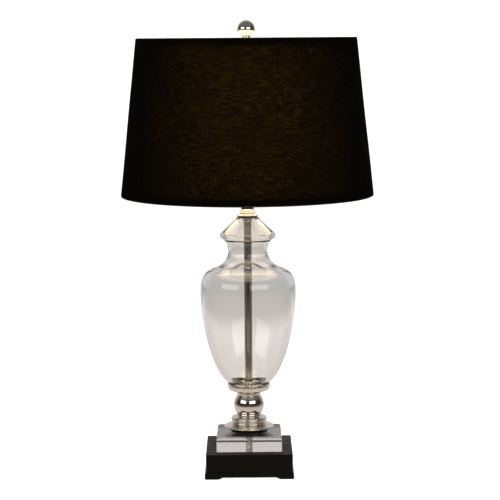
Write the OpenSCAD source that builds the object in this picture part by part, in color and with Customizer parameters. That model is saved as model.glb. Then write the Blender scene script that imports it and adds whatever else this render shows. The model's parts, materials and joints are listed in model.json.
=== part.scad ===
// Table lamp with shade: black wooden plinth, crystal block, nickel column, clear glass urn
// on a threaded pipe, turn-knob socket with bulb and harp, tapered drum shade and ball finial.
// Millimetres. +Z is up, the origin is the bottom centre, the front faces -Y.

/* [Plinth] */
// Width of the plinth across its bracket feet
plinth_w = 143; // [125:1:180]
// Height of the plinth from the floor to its top face
plinth_h = 40; // [36:1:60]
// Thickness of the top board
board_t = 13; // [10:1:18]
// Thickness of the side rails
rail_t = 12; // [8:1:16]
// Width of one bracket foot
foot_w = 24; // [16:1:34]
// Thickness of the felt pads under the feet
pad_t = 1; // [0.8:0.1:2]

/* [Crystal block] */
// Width of the crystal block
block_w = 105; // [85:1:115]
// Height of the crystal block
block_h = 24; // [18:1:40]
// Radius of its rounded top edges
block_round = 5; // [2:0.5:10]

/* [Nickel column] */
// Radius of the dished flange
flange_r = 40.4; // [34:0.2:44]
// Radius of the ball
ball_r = 24.6; // [22:0.1:28]
// Outer radius of the cup that holds the glass
cup_r = 34.6; // [34.4:0.1:38]

/* [Glass urn] */
// Greatest radius of the glass body
urn_r = 77; // [70:0.2:85]
// Wall thickness of the body
urn_wall = 5; // [3:0.5:6]
// Outer radius of the centre tube inside the glass
centre_tube_r = 6.6; // [5.8:0.1:8]

/* [Socket, switch and bulb] */
// Outer radius of the socket shell
shell_r = 16.6; // [16.4:0.1:18]
// Length of the socket shell
shell_h = 42; // [38:1:46]
// Radius of the bulb's globe
bulb_r = 30; // [24:0.5:30]
// Length of the turn knob
knob_l = 13; // [10:1:16]

/* [Harp] */
// Half the harp's width at its widest
harp_half_w = 55; // [50:1:60]
// Radius of the harp wire
wire_r = 1.6; // [1.4:0.1:2]

/* [Shade] */
// Outside diameter of the shade at its top
shade_top_d = 352; // [300:1:380]
// Outside diameter of the shade at its bottom
shade_bottom_d = 406; // [380:1:440]
// Height of the shade
shade_h = 252; // [230:1:270]
// Thickness of the fabric
fabric_t = 0.6; // [0.4:0.1:1]
// Thickness of the styrene liner
liner_t = 0.7; // [0.5:0.1:1]

/* [Finial] */
// Radius of the finial's ball
finial_r = 14.5; // [10:0.5:18]

/* [Hidden] */
$fn = 96;
eps = 1; // how far a cutting tool runs past the face it cuts

nickel = [0.78, 0.76, 0.72];
black = [0.04, 0.04, 0.04];
clear = [0.85, 0.88, 0.88, 0.35];

// Threaded pipe that runs up the lamp, and the bore of the pieces stacked on it
pipe_r = 5;
pipe_bore_r = 3.2;
stack_bore_r = 5.3;

// Plinth
foot_half = plinth_w / 2;
body_half = foot_half - 3;
board_half = foot_half - 2;
inner_half = body_half - rail_t;
rail_top = plinth_h - board_t;
moulding_h = 9;
arch_h = 2.2;
arch_ease = 5;
cover_z = 4;
cover_t = 2.5;
cover_half = inner_half - 0.5;
corner_leg = 18;
screw_inset = inner_half - 6;
cover_screw_r = 1.6;
cord_z = 20.5;
cord_bore_r = 3.6;
bushing_r = 5;
washer_t = 1.6;
nut_t = 5;

// Heights of the stack above the plinth
gasket_t = 0.4;
seat_t = 2;
flange_h = 10.5;
collar_h = 16.6;
ball_flat = 14.5;
ring_h = 2.8;
cup_h = 18;
block_z = plinth_h + gasket_t;
seat_z = block_z + block_h;
flange_z = seat_z + seat_t;
collar_z = flange_z + flange_h;
ball_z = collar_z + collar_h + ball_flat;
ring_z = ball_z + ball_flat + 0.2;
cup_z = ring_z + ring_h;

// Glass urn, in heights above the underside of its foot
urn_z = cup_z + 6.1;
urn_foot_r = 32.2;
urn_foot_h = 12;
urn_belly_h = 162.4;
urn_shoulder_h = 196.7;
urn_shoulder_r = urn_r - 15.5;
urn_neck_h = 226.4;
urn_neck_r = 31.4;
urn_lip_h = 247.8;
urn_top_h = 281.9;
urn_top_r = 19.6;
urn_mouth_r = 13;
urn_floor_h = 6;

// Neck above the glass
cap_z = urn_z + urn_top_h + 0.5;
cap_h = 5.5;
cap_plug_h = 3; // how far the cap reaches into the glass
tube_head_h = 5;
tube_head_z = cap_z - cap_plug_h - tube_head_h;
cap_ring_h = 5.5;
spindle_z = cap_z + cap_h + cap_ring_h;
spindle_h = 25.5;
saddle_z = spindle_z + spindle_h;
saddle_t = 2.5;
saddle_half = 25.4;
locknut_t = 3.6;
peg_h = 9.5;

// Socket
socket_z = saddle_z + saddle_t + locknut_t;
socket_cap_h = 22.4;
shell_z = socket_z + 18;
shell_t = 0.5;
sleeve_t = 0.6;
socket_body_z = socket_z + 13;
socket_body_r = 13.6;
screw_shell_z = socket_body_z + 21;
contact_z = screw_shell_z + 1;
switch_z = socket_body_z + 12;
stem_r = 1.8;
stem_grip = 3.5; // how far the stem reaches into the knob
knob_gap = 1.5;
pipe_top = socket_z + 7;
pipe_bottom = rail_top - 11;

// Bulb
bulb_z = contact_z + 1.8;
bulb_base_r = 13;
bulb_centre_z = bulb_z + 108 - bulb_r;

// Harp
leg_z = saddle_z + saddle_t + peg_h + 0.2;
leg_straight = 24;
harp_low_r = 30;
harp_high_r = 50;
harp_sweep = acos(1 - (harp_half_w - saddle_half) / (harp_low_r + harp_high_r));
harp_rise = (harp_low_r + harp_high_r) * sin(harp_sweep);
harp_top_half = 8;
harp_top_r = harp_half_w - harp_top_half;
harp_top_z = 690;
harp_bend_z = leg_z + leg_straight + harp_rise;
seat_r = 8;
seat_top = harp_top_z + 3;
stud_r = 3;
ferrule_z = saddle_z + saddle_t + 0.3;
ferrule_h = 15;
ferrule_r = 3.8;

// Shade
shade_top_z = 701;
shade_bottom_z = shade_top_z - shade_h;
shade_top_r = shade_top_d / 2;
shade_bottom_r = shade_bottom_d / 2;
shade_slope = (shade_bottom_r - shade_top_r) / shade_h;
ring_wire_r = 1.6;
ring_drop = 2.4;
hem_w = 12;
top_ring_z = shade_top_z - ring_drop;
bottom_ring_z = shade_bottom_z + ring_drop;
ring_inset = fabric_t + liner_t + ring_wire_r + 0.3;
top_ring_r = shade_r(top_ring_z) - ring_inset;
bottom_ring_r = shade_r(bottom_ring_z) - ring_inset;
hub_r = 12;
hub_t = 2.5;
arm_r = 1.8;
arm_z = seat_top + 1.5;
arm_start = 10.5;

// Finial
finial_z = seat_top + hub_t;
finial_base_h = 6;
finial_ball_z = finial_z + 18.4;

function shade_r(z) = shade_bottom_r - shade_slope * (z - shade_bottom_z);

function arc_points(centre, r, start, end, steps) =
    [for (i = [0:steps]) let (a = start + (end - start) * i / steps) centre + r * [cos(a), sin(a)]];

// Cubic curve through p0 and p3, without its last point
function curve(p0, p1, p2, p3, steps) =
    [for (i = [0:steps - 1]) let (t = i / steps, u = 1 - t)
        u * u * u * p0 + 3 * u * u * t * p1 + 3 * u * t * t * p2 + t * t * t * p3];

module lathe(points) {
    rotate_extrude() polygon(points);
}

module ring(r_out, r_in, h) {
    difference() {
        cylinder(r = r_out, h = h);
        translate([0, 0, -eps]) cylinder(r = r_in, h = h + 2 * eps);
    }
}

module hex_nut(across_flats, bore_r, h) {
    difference() {
        cylinder(d = across_flats / cos(30), h = h, $fn = 6);
        translate([0, 0, -eps]) cylinder(r = bore_r, h = h + 2 * eps);
    }
}

module at_corners(half) {
    for (x = [-half, half], y = [-half, half]) translate([x, y, 0]) children();
}

// Square slab with its four top edges rounded
module round_top_slab(half, h, r) {
    intersection() {
        for_side(half, h, r);
        rotate([0, 0, 90]) for_side(half, h, r);
    }
}

module for_side(half, h, r) {
    translate([0, half, 0]) rotate([90, 0, 0]) linear_extrude(2 * half) {
        translate([-half, 0]) square([2 * half, h - r]);
        translate([r - half, 0]) square([2 * (half - r), h]);
        for (x = [r - half, half - r]) translate([x, h - r]) circle(r);
    }
}

// ---- plinth ----

module foot_pads() {
    color(black) at_corners(foot_half - foot_w / 2)
        translate([1 - foot_w / 2, 1 - foot_w / 2, 0]) cube([foot_w - 2, foot_w - 2, pad_t]);
}

module rail_outline() {
    cove = arc_points([-body_half - 3.5, moulding_h + 5], 3.5, 0, -60, 6);
    polygon(concat(
        [[-inner_half, rail_top], [-inner_half, pad_t], [-foot_half, pad_t], [-foot_half + 0.3, moulding_h]],
        [for (i = [6:-1:0]) cove[i]],
        [[-body_half, rail_top]]));
}

module arch_outline() {
    half = foot_half - foot_w;
    side = curve([half, pad_t], [half - arch_ease / 2, pad_t],
        [half - arch_ease / 2, pad_t + arch_h], [half - arch_ease, pad_t + arch_h], 8);
    polygon(concat(
        [[-half, 0], [half, 0]], side, [[half - arch_ease, pad_t + arch_h]],
        [[arch_ease - half, pad_t + arch_h]], [for (i = [7:-1:0]) [-side[i][0], side[i][1]]]));
}

// One mitred rail with its apron arch, on the -Y side
module rail() {
    difference() {
        intersection() {
            translate([-foot_half, 0, 0]) rotate([90, 0, 90]) linear_extrude(2 * foot_half) rail_outline();
            linear_extrude(plinth_h)
                polygon([[0, 0], [-plinth_w, -plinth_w], [plinth_w, -plinth_w]]);
        }
        rotate([90, 0, 0]) linear_extrude(plinth_w) arch_outline();
    }
}

module plinth_front() { color(black) rail(); }

module plinth_left() { color(black) rotate([0, 0, -90]) rail(); }

module plinth_right() { color(black) rotate([0, 0, 90]) rail(); }

module plinth_back() {
    color(black) difference() {
        rotate([0, 0, 180]) rail();
        translate([0, inner_half - eps, cord_z]) rotate([-90, 0, 0]) cylinder(r = bushing_r, h = rail_t + 5);
    }
}

module corner_blocks() {
    block_bottom = cover_z + cover_t;
    color([0.6, 0.45, 0.3]) for (a = [0:90:270]) rotate([0, 0, a]) difference() {
        translate([0, 0, block_bottom]) linear_extrude(rail_top - block_bottom)
            polygon([[inner_half, inner_half], [inner_half - corner_leg, inner_half],
                [inner_half, inner_half - corner_leg]]);
        translate([screw_inset, screw_inset, block_bottom - eps])
            cylinder(r = cover_screw_r + 0.05, h = 11);
    }
}

module base_board() {
    color(black) translate([0, 0, rail_top]) difference() {
        round_top_slab(board_half, board_t, 1.2);
        translate([0, 0, -eps]) cylinder(r = stack_bore_r, h = board_t + 2 * eps);
    }
}

module bottom_cover() {
    color([0.2, 0.18, 0.16]) translate([0, 0, cover_z]) difference() {
        translate([-cover_half, -cover_half, 0]) cube([2 * cover_half, 2 * cover_half, cover_t]);
        at_corners(screw_inset) translate([0, 0, -eps])
            cylinder(r = cover_screw_r + 0.05, h = cover_t + 2 * eps);
    }
}

module cover_screws() {
    head_h = 1.4;
    color(nickel) at_corners(screw_inset) {
        translate([0, 0, cover_z - head_h]) cylinder(r1 = 2.6, r2 = 3.2, h = head_h);
        translate([0, 0, cover_z]) cylinder(r = cover_screw_r, h = 12);
    }
}

module cord_bushing() {
    color(black) translate([0, 0, cord_z]) rotate([-90, 0, 0]) difference() {
        union() {
            translate([0, 0, inner_half]) cylinder(r = bushing_r, h = rail_t);
            translate([0, 0, body_half]) cylinder(r1 = bushing_r + 1.4, r2 = bushing_r + 0.6, h = 2.5);
        }
        translate([0, 0, inner_half - eps]) cylinder(r = cord_bore_r, h = rail_t + 5);
    }
}

module bottom_washer() {
    color(nickel) translate([0, 0, rail_top - washer_t]) ring(16, stack_bore_r, washer_t);
}

module bottom_nut() {
    color(nickel) translate([0, 0, rail_top - washer_t - nut_t]) hex_nut(15, pipe_r, nut_t);
}

// ---- pipe and crystal block ----

module threaded_pipe() {
    color(nickel) translate([0, 0, pipe_bottom]) ring(pipe_r, pipe_bore_r, pipe_top - pipe_bottom);
}

module block_gasket() {
    color(black) translate([0, 0, plinth_h]) ring(8, stack_bore_r, gasket_t);
}

module crystal_block() {
    color(clear) translate([0, 0, block_z]) difference() {
        round_top_slab(block_w / 2, block_h, block_round);
        translate([0, 0, -eps]) cylinder(r = stack_bore_r + 0.3, h = block_h + 2 * eps);
    }
}

// ---- nickel column ----

module column_seat() {
    color(black) translate([0, 0, seat_z]) ring(flange_r - 11, stack_bore_r, seat_t);
}

module column_flange() {
    r = flange_r;
    underside = curve([r - 12.4, 0], [r - 9, 0.6], [r - 5, 4.6], [r - 0.9, 5.3], 8);
    color(nickel) translate([0, 0, flange_z]) lathe(concat(
        [[stack_bore_r, 0]], underside, arc_points([r - 1, 6.3], 1, -80, 80, 6),
        [[r - 4, 7.6], [r - 4.4, 8.4], [r - 7.4, 8.8], [r - 7.8, 9.6], [r - 11.5, 9.9], [r - 11.9, flange_h],
            [stack_bore_r, flange_h]]));
}

module column_collar() {
    r = 29.3;
    cove = curve([r - 1.2, 11], [r - 5.2, 11.6], [20.6, 13.4], [19.9, collar_h], 8);
    color(nickel) translate([0, 0, collar_z]) lathe(concat(
        [[stack_bore_r, 0], [r - 1, 0]], arc_points([r - 2, 2.1], 2, -70, 70, 8),
        [[r - 1.7, 4.6], [r - 1.7, 5.4]], arc_points([r - 2.4, 8], 2.4, -65, 60, 8), cove,
        [[19.9, collar_h], [stack_bore_r, collar_h]]));
}

module column_ball() {
    color(nickel) translate([0, 0, ball_z]) difference() {
        intersection() {
            sphere(r = ball_r);
            translate([0, 0, -ball_flat]) cylinder(r = ball_r + eps, h = 2 * ball_flat + 0.2);
        }
        translate([0, 0, -ball_r]) cylinder(r = stack_bore_r, h = 2 * ball_r);
    }
}

module ball_ring() {
    color(nickel) translate([0, 0, ring_z]) lathe(concat(
        [[stack_bore_r, 0], [17.6, 0]], arc_points([17.1, ring_h / 2], ring_h / 2, -70, 70, 8),
        [[17.6, ring_h], [stack_bore_r, ring_h]]));
}

module cup_gasket() {
    color([0.55, 0.38, 0.22]) translate([0, 0, urn_z - 1.4]) ring(22, stack_bore_r, 1.4);
}

module glass_cup() {
    r = cup_r;
    outer = curve([19.4, 0], [20, 5], [r - 7, 4.2], [r - 1.9, 7.9], 8);
    inner = curve([r - 1.6, 15.5], [r - 1.6, 8], [26, 5.6], [23, 4.7], 8);
    color(nickel) translate([0, 0, cup_z]) lathe(concat(
        [[stack_bore_r, 0]], outer, [[r - 1.9, 7.9], [r - 0.6, 11.2], [r, 14.6]],
        arc_points([r - 1, cup_h - 1], 1, -20, 160, 8), inner, [[23, 4.7], [stack_bore_r, 4.7]]));
}

// ---- glass urn and what is inside it ----

// The outside from the foot's edge to the mouth. Its curves meet at the widest point, at the
// ridge on the shoulder, at the waist of the neck, at the crease under the lip and on the lip.
function urn_outside() = concat(
    curve([22, 0], [28, 0], [urn_foot_r - 1, 2.5], [urn_foot_r - 0.2, 9], 8),
    [[urn_foot_r - 0.2, 9]],
    curve([urn_foot_r, urn_foot_h], [urn_foot_r + 31, urn_foot_h + 21.6], [urn_r, urn_belly_h - 41],
        [urn_r, urn_belly_h], 24),
    curve([urn_r, urn_belly_h], [urn_r, urn_belly_h + 14], [urn_r - 1.6, urn_shoulder_h - 5.8],
        [urn_shoulder_r, urn_shoulder_h], 14),
    [[urn_shoulder_r, urn_shoulder_h]],
    curve([urn_shoulder_r - 1.3, urn_shoulder_h + 1.1], [urn_neck_r + 14.6, urn_neck_h - 23.5],
        [urn_neck_r + 2.6, urn_neck_h - 17], [urn_neck_r, urn_neck_h], 14),
    curve([urn_neck_r, urn_neck_h], [urn_neck_r, urn_neck_h + 16],
        [urn_neck_r + 6.1, urn_lip_h - 4.9], [urn_neck_r + 8.8, urn_lip_h], 10),
    curve([urn_neck_r + 8.8, urn_lip_h], [urn_neck_r + 14, urn_lip_h + 0.3],
        [urn_neck_r + 15, urn_lip_h + 6.6], [urn_neck_r + 11, urn_lip_h + 10.6], 10),
    [[urn_neck_r + 11, urn_lip_h + 10.6], [urn_top_r, urn_lip_h + 31.8], [urn_top_r - 0.8, urn_top_h]]);

// The inside, from the mouth back down to the floor
function urn_inside() = concat(
    [[urn_mouth_r, urn_top_h], [urn_mouth_r, urn_lip_h + 29.5], [urn_mouth_r + 1, urn_lip_h + 28]],
    curve([urn_neck_r + 6.4, urn_lip_h + 9.6], [urn_neck_r + 12, urn_lip_h + 6],
        [urn_neck_r + 8, urn_lip_h + 1.6], [urn_neck_r + 3.4, urn_lip_h - 1.4], 8),
    curve([urn_neck_r + 3.4, urn_lip_h - 1.4], [urn_neck_r - 0.8, urn_lip_h - 5.4],
        [urn_neck_r - 4, urn_neck_h + 10], [urn_neck_r - 4, urn_neck_h], 8),
    curve([urn_neck_r - 4, urn_neck_h], [urn_neck_r - 3, urn_neck_h - 23],
        [urn_neck_r + 13, urn_neck_h - 25], [urn_shoulder_r - 2.3, urn_shoulder_h - 3.4], 10),
    curve([urn_shoulder_r - 2.3, urn_shoulder_h - 3.4], [urn_r - urn_wall - 2, urn_shoulder_h - 9.8],
        [urn_r - urn_wall, urn_belly_h + 13], [urn_r - urn_wall, urn_belly_h], 12),
    curve([urn_r - urn_wall, urn_belly_h], [urn_r - urn_wall, urn_belly_h - 41],
        [urn_foot_r + 25.3, urn_foot_h + 25.4], [urn_foot_r - 5.2, urn_foot_h + 3.9], 24),
    curve([urn_foot_r - 5.2, urn_foot_h + 3.9], [urn_foot_r - 8.2, urn_foot_h + 1.7],
        [urn_foot_r - 7.7, urn_floor_h + 0.9], [19, urn_floor_h], 6),
    [[19, urn_floor_h], [stack_bore_r + 1.5, urn_floor_h], [stack_bore_r + 1.5, 0]]);

module glass_urn() {
    color(clear) translate([0, 0, urn_z]) lathe(concat(urn_outside(), urn_inside()));
}

module tube_foot() {
    color(nickel) translate([0, 0, urn_z + urn_floor_h]) lathe([[stack_bore_r, 0], [9, 0], [9, 1.4],
        [centre_tube_r + 1.2, 2.4], [centre_tube_r + 1.2, 7], [centre_tube_r + 0.6, 7.6],
        [centre_tube_r + 0.6, 8.4], [stack_bore_r, 8.4]]);
}

module tube_head() {
    color(nickel) translate([0, 0, tube_head_z]) ring(centre_tube_r + 1.6, stack_bore_r, tube_head_h);
}

module centre_tube() {
    bottom = urn_z + urn_floor_h + 8.4;
    color(nickel) translate([0, 0, bottom]) ring(centre_tube_r, stack_bore_r, tube_head_z - bottom);
}

// ---- neck ----

module cap_gasket() {
    color([0.2, 0.2, 0.2]) translate([0, 0, cap_z - 0.5]) ring(17, urn_mouth_r, 0.5);
}

module vase_cap() {
    color(nickel) translate([0, 0, cap_z]) lathe(concat(
        [[stack_bore_r, -cap_plug_h], [urn_mouth_r - 0.4, -cap_plug_h], [urn_mouth_r - 0.4, 0]],
        [[16.3, 0], [16.8, 0.5], [16.8, 3.6], [16.3, 4.1], [14.2, 4.5], [13.8, cap_h],
            [stack_bore_r, cap_h]]));
}

module cap_ring() {
    color(nickel) translate([0, 0, cap_z + cap_h]) lathe(concat(
        [[stack_bore_r, 0], [12, 0]], arc_points([11, 2.2], 2.2, -55, 75, 8),
        [[11.6, 4.8], [11.4, cap_ring_h], [stack_bore_r, cap_ring_h]]));
}

module neck_spindle() {
    r = 10.3;
    waist = curve([r + 0.9, 0], [r, 2], [r, 4], [r, 8], 8);
    color(nickel) translate([0, 0, spindle_z]) lathe(concat(
        [[stack_bore_r, 0]], waist, [[r, 8], [r, 19]], arc_points([r, 21], 1.6, -60, 60, 6),
        [[r, 23], [r, spindle_h], [stack_bore_r, spindle_h]]));
}

// Flat strap with two round pegs that the harp's legs stand on
module harp_saddle() {
    color(nickel) translate([0, 0, saddle_z]) {
        difference() {
            union() {
                translate([-saddle_half, -6, 0]) cube([2 * saddle_half, 12, saddle_t]);
                for (side = [-1, 1]) translate([side * saddle_half, 0, 0]) cylinder(r = 6, h = saddle_t);
            }
            translate([0, 0, -eps]) cylinder(r = stack_bore_r, h = saddle_t + 2 * eps);
        }
        for (side = [-1, 1]) translate([side * saddle_half, 0, saddle_t]) cylinder(r = wire_r, h = peg_h);
    }
}

module pipe_locknut() {
    color(nickel) translate([0, 0, saddle_z + saddle_t]) hex_nut(15, pipe_r, locknut_t);
}

// ---- socket ----

module socket_cap() {
    rim = shell_r + 1.2;
    dome = curve([7.4, 6.5], [12, 7.5], [rim - 0.4, 9], [rim, 17.5], 8);
    under = curve([rim - 0.7, 17.5], [rim - 1.2, 10], [12, 8.4], [pipe_r + 1, 8], 8);
    color([0.8, 0.68, 0.4]) translate([0, 0, socket_z]) difference() {
        lathe(concat([[pipe_r, 0], [7, 0], [7.4, 0.6]], dome, [[rim, 17.5], [rim, socket_cap_h],
            [rim - 0.7, socket_cap_h]], under, [[pipe_r + 1, 8], [pipe_r, 7.5]]));
        translate([0, 0, 3.2]) rotate([0, 90, 0]) cylinder(r = 1.45, h = 12);
    }
}

module cap_set_screw() {
    color(nickel) translate([pipe_r + 0.1, 0, socket_z + 3.2]) rotate([0, 90, 0]) {
        cylinder(r = 1.4, h = 3);
        translate([0, 0, 3]) cylinder(r = 2.4, h = 1.5);
    }
}

// Round hole in the -Y wall of the shell and the sleeve for the switch stem
module stem_hole(r) {
    translate([0, 0, switch_z]) rotate([90, 0, 0]) cylinder(r = r, h = 25);
}

module socket_shell() {
    color([0.8, 0.68, 0.4]) difference() {
        translate([0, 0, shell_z]) ring(shell_r, shell_r - shell_t, shell_h);
        stem_hole(3.4);
    }
}

module insulating_sleeve() {
    sleeve_r = shell_r - shell_t - 0.2;
    color([0.15, 0.13, 0.12]) difference() {
        translate([0, 0, shell_z + 1]) ring(sleeve_r, sleeve_r - sleeve_t, shell_h - 3);
        stem_hole(3);
    }
}

module socket_body() {
    color([0.12, 0.1, 0.09]) difference() {
        translate([0, 0, socket_body_z]) cylinder(r = socket_body_r, h = 20);
        translate([0, 0, switch_z]) rotate([90, 0, 0]) cylinder(r = stem_r + 0.3, h = 25);
        for (side = [-1, 1]) translate([side * (socket_body_r - 4), 0, socket_body_z + 5])
            rotate([0, side * 90, 0]) cylinder(r = 1.45, h = 8);
    }
}

module socket_screw_shell() {
    color([0.8, 0.68, 0.4]) translate([0, 0, socket_body_z + 20]) difference() {
        cylinder(r = 14.2, h = 27);
        translate([0, 0, 0.6]) cylinder(r = bulb_base_r + 0.6, h = 28);
        translate([0, 0, -eps]) cylinder(r = 5, h = 3);
    }
}

module socket_contact() {
    color([0.8, 0.68, 0.4]) translate([0, 0, socket_body_z + 20]) {
        cylinder(r = 2.4, h = contact_z - socket_body_z - 20);
        translate([-3.2, -2, contact_z - socket_body_z - 20]) cube([6.4, 4, 0.8]);
    }
}

module terminal_screws() {
    color([0.8, 0.68, 0.4]) for (side = [-1, 1])
        translate([side * (socket_body_r - 3.8), 0, socket_body_z + 5]) rotate([0, side * 90, 0]) {
            cylinder(r = 1.4, h = 3.8);
            translate([0, 0, 3.8]) cylinder(r = 2.6, h = 1.1);
        }
}

module switch_stem() {
    color(nickel) translate([0, -3, switch_z]) rotate([90, 0, 0])
        cylinder(r = stem_r, h = shell_r + knob_gap + stem_grip - 3);
}

module switch_knob() {
    grips = 12;
    color([0.1, 0.08, 0.07]) translate([0, -shell_r - knob_gap, switch_z]) rotate([90, 0, 0]) difference() {
        union() {
            cylinder(r = 3.8, h = 3);
            translate([0, 0, 3]) cylinder(r = 5.6, h = knob_l - 3);
        }
        for (i = [0:grips - 1]) rotate([0, 0, i * 360 / grips])
            translate([6, 0, 4]) cylinder(r = 0.9, h = knob_l, $fn = 24);
        translate([0, 0, -eps]) cylinder(r = stem_r, h = stem_grip + eps);
    }
}

// ---- harp ----

// Stations along a bend of the wire, each as [x, z, heading]. turn is 1 anticlockwise, -1 clockwise.
function bend(centre, r, start, sweep, turn, steps) =
    [for (i = [0:steps]) let (a = start + turn * sweep * i / steps)
        [centre[0] + r * cos(a), centre[1] + r * sin(a), a + turn * 90]];

function harp_side() = concat(
    [[saddle_half, leg_z, 90]],
    bend([saddle_half + harp_low_r, leg_z + leg_straight], harp_low_r, 180, harp_sweep, -1, 10),
    bend([harp_half_w - harp_high_r, harp_bend_z], harp_high_r, -harp_sweep, harp_sweep, 1, 12),
    bend([harp_top_half, harp_top_z - harp_top_r], harp_top_r, 0, 90, 1, 22));

// Round wire along stations in the XZ plane
module wire(stations, r, sides) {
    last = len(stations) - 1;
    points = [for (s = stations, k = [0:sides - 1]) let (a = 360 * k / sides, u = r * cos(a))
        [s[0] - u * sin(s[2]), r * sin(a), s[1] + u * cos(s[2])]];
    walls = [for (i = [0:last - 1], k = [0:sides - 1]) let (n = (k + 1) % sides)
        [i * sides + k, i * sides + n, (i + 1) * sides + n, (i + 1) * sides + k]];
    start_cap = [for (k = [sides - 1:-1:0]) k];
    end_cap = [for (k = [0:sides - 1]) last * sides + k];
    polyhedron(points, concat(walls, [start_cap, end_cap]));
}

module harp_wire() {
    side = harp_side();
    last = len(side) - 1;
    color([0.8, 0.68, 0.4])
        wire(concat(side, [for (i = [last:-1:0]) [-side[i][0], side[i][1], -side[i][2]]]), wire_r, 12);
}

module harp_seat() {
    color([0.8, 0.68, 0.4]) difference() {
        union() {
            translate([0, 0, harp_top_z - 3]) cylinder(r = seat_r, h = 6);
            translate([0, 0, seat_top]) cylinder(r = stud_r, h = 12);
        }
        translate([-seat_r - eps, 0, harp_top_z]) rotate([0, 90, 0])
            cylinder(r = wire_r + 0.05, h = 2 * (seat_r + eps));
    }
}

module harp_ferrule(side) {
    color([0.8, 0.68, 0.4]) translate([side * saddle_half, 0, ferrule_z]) lathe([
        [wire_r + 0.35, 0], [ferrule_r, 0], [ferrule_r, ferrule_h - 1.5],
        [ferrule_r - 1, ferrule_h], [wire_r + 0.35, ferrule_h]]);
}

module harp_ferrule_left() { harp_ferrule(-1); }

module harp_ferrule_right() { harp_ferrule(1); }

// ---- bulb ----

// Envelope at a given inset from its outer surface, from the neck up to the crown
function bulb_outline(inset, low_z) = concat(
    [[12.2 - inset, low_z]],
    curve([12.4 - inset, bulb_z + 25.5], [13.4 - inset, bulb_z + 44], [bulb_r - inset, bulb_centre_z - 30],
        [bulb_r - inset, bulb_centre_z], 14),
    arc_points([0, bulb_centre_z], bulb_r - inset, 0, 90, 18));

module bulb_glass() {
    low_z = bulb_z + 16;
    outer = bulb_outline(0, low_z);
    inner = bulb_outline(0.9, low_z);
    last = len(inner) - 1;
    color([0.95, 0.93, 0.88]) lathe(concat(outer, [for (i = [last:-1:0]) inner[i]]));
}

module bulb_base() {
    color([0.75, 0.75, 0.72]) translate([0, 0, bulb_z + 4]) ring(bulb_base_r, bulb_base_r - 0.5, 21);
}

module bulb_insulator() {
    color([0.05, 0.05, 0.05]) translate([0, 0, bulb_z + 1]) lathe([[3, 0.5], [4.6, 0], [11, 3],
        [bulb_base_r - 0.5, 3], [bulb_base_r - 0.5, 4.6], [3, 4.6]]);
}

module bulb_contact() {
    color([0.75, 0.75, 0.72]) translate([0, 0, bulb_z]) cylinder(r = 3, h = 3);
}

module bulb_stem() {
    flare = curve([10.4, 0], [4, 3], [3, 10], [3, 22], 8);
    color(clear) translate([0, 0, bulb_z + 17]) lathe(concat([[0, 0]], flare, [[3, 22], [2, 36], [0, 36]]));
}

module bulb_filament() {
    top = bulb_z + 68;
    color([0.5, 0.5, 0.5]) {
        for (side = [-1, 1]) translate([side * 4.2, 0, bulb_z + 30]) cylinder(r = 0.5, h = top - bulb_z - 30);
        translate([-4.2, 0, top - 1]) rotate([0, 90, 0]) cylinder(r = 1, h = 8.4);
    }
}

// ---- shade ----

// Strip of the shade's wall between two heights, at a given inset from its outer surface
module wall_strip(inset, t, low, high) {
    polygon([[shade_r(low) - inset, low], [shade_r(high) - inset, high],
        [shade_r(high) - inset - t, high], [shade_r(low) - inset - t, low]]);
}

// Fabric folded round a ring at the edge of the shade. side is 1 at the top and -1 at the bottom.
module fold(edge_z, side) {
    ring_r = shade_r(edge_z - side * ring_drop) - ring_inset;
    web = ring_r - ring_wire_r - 0.1 - fabric_t;
    inner = edge_z - side * (ring_drop + ring_wire_r + 0.1 + fabric_t);
    box(web, edge_z - side * fabric_t, shade_r(edge_z) - 0.3, edge_z);
    box(web, inner, web + fabric_t, edge_z);
    box(web, inner, shade_r(inner) - fabric_t - liner_t - 0.1 - fabric_t / 2, inner + side * fabric_t);
    wall_strip(fabric_t + liner_t + 0.1, fabric_t, min(inner, edge_z - side * hem_w),
        max(inner, edge_z - side * hem_w));
}

// Rectangle between two corners in either order of height
module box(x0, z0, x1, z1) {
    translate([x0, min(z0, z1)]) square([x1 - x0, abs(z1 - z0)]);
}

// The three spider arms, at 90, 210 and 330 degrees, as rods of a given radius
module arms(r, start) {
    reach = top_ring_r - start;
    drop = top_ring_z - arm_z;
    for (a = [90:120:330]) rotate([0, 0, a]) translate([start, 0, arm_z])
        rotate([0, atan2(reach, drop), 0]) cylinder(r = r, h = norm([reach, drop]));
}

module shade_fabric() {
    color(black) difference() {
        rotate_extrude() {
            wall_strip(0, fabric_t, shade_bottom_z, shade_top_z);
            fold(shade_top_z, 1);
            fold(shade_bottom_z, -1);
        }
        arms(arm_r + 0.4, arm_start);
    }
}

module shade_liner() {
    color([0.85, 0.82, 0.75]) rotate_extrude()
        wall_strip(fabric_t + 0.05, liner_t, shade_bottom_z + fabric_t + 0.1, shade_top_z - fabric_t - 0.1);
}

module shade_ring(r, z) {
    translate([0, 0, z]) rotate_extrude() translate([r, 0]) circle(ring_wire_r, $fn = 32);
}

module shade_top_ring() { color(nickel) shade_ring(top_ring_r, top_ring_z); }

module shade_bottom_ring() { color(nickel) shade_ring(bottom_ring_r, bottom_ring_z); }

module shade_spider() {
    color(nickel) difference() {
        union() {
            translate([0, 0, seat_top]) cylinder(r = hub_r, h = hub_t);
            arms(arm_r, arm_start);
        }
        translate([0, 0, seat_top - eps]) cylinder(r = stud_r + 0.5, h = hub_t + 2 * eps);
        shade_ring(top_ring_r, top_ring_z);
    }
}

// ---- finial ----

module finial_base() {
    color(nickel) translate([0, 0, finial_z]) lathe([[stud_r + 0.35, 0], [9.4, 0], [9.4, 1.6],
        [8.2, 2.6], [7, 3.6], [6.6, finial_base_h], [stud_r + 0.35, finial_base_h]]);
}

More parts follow.
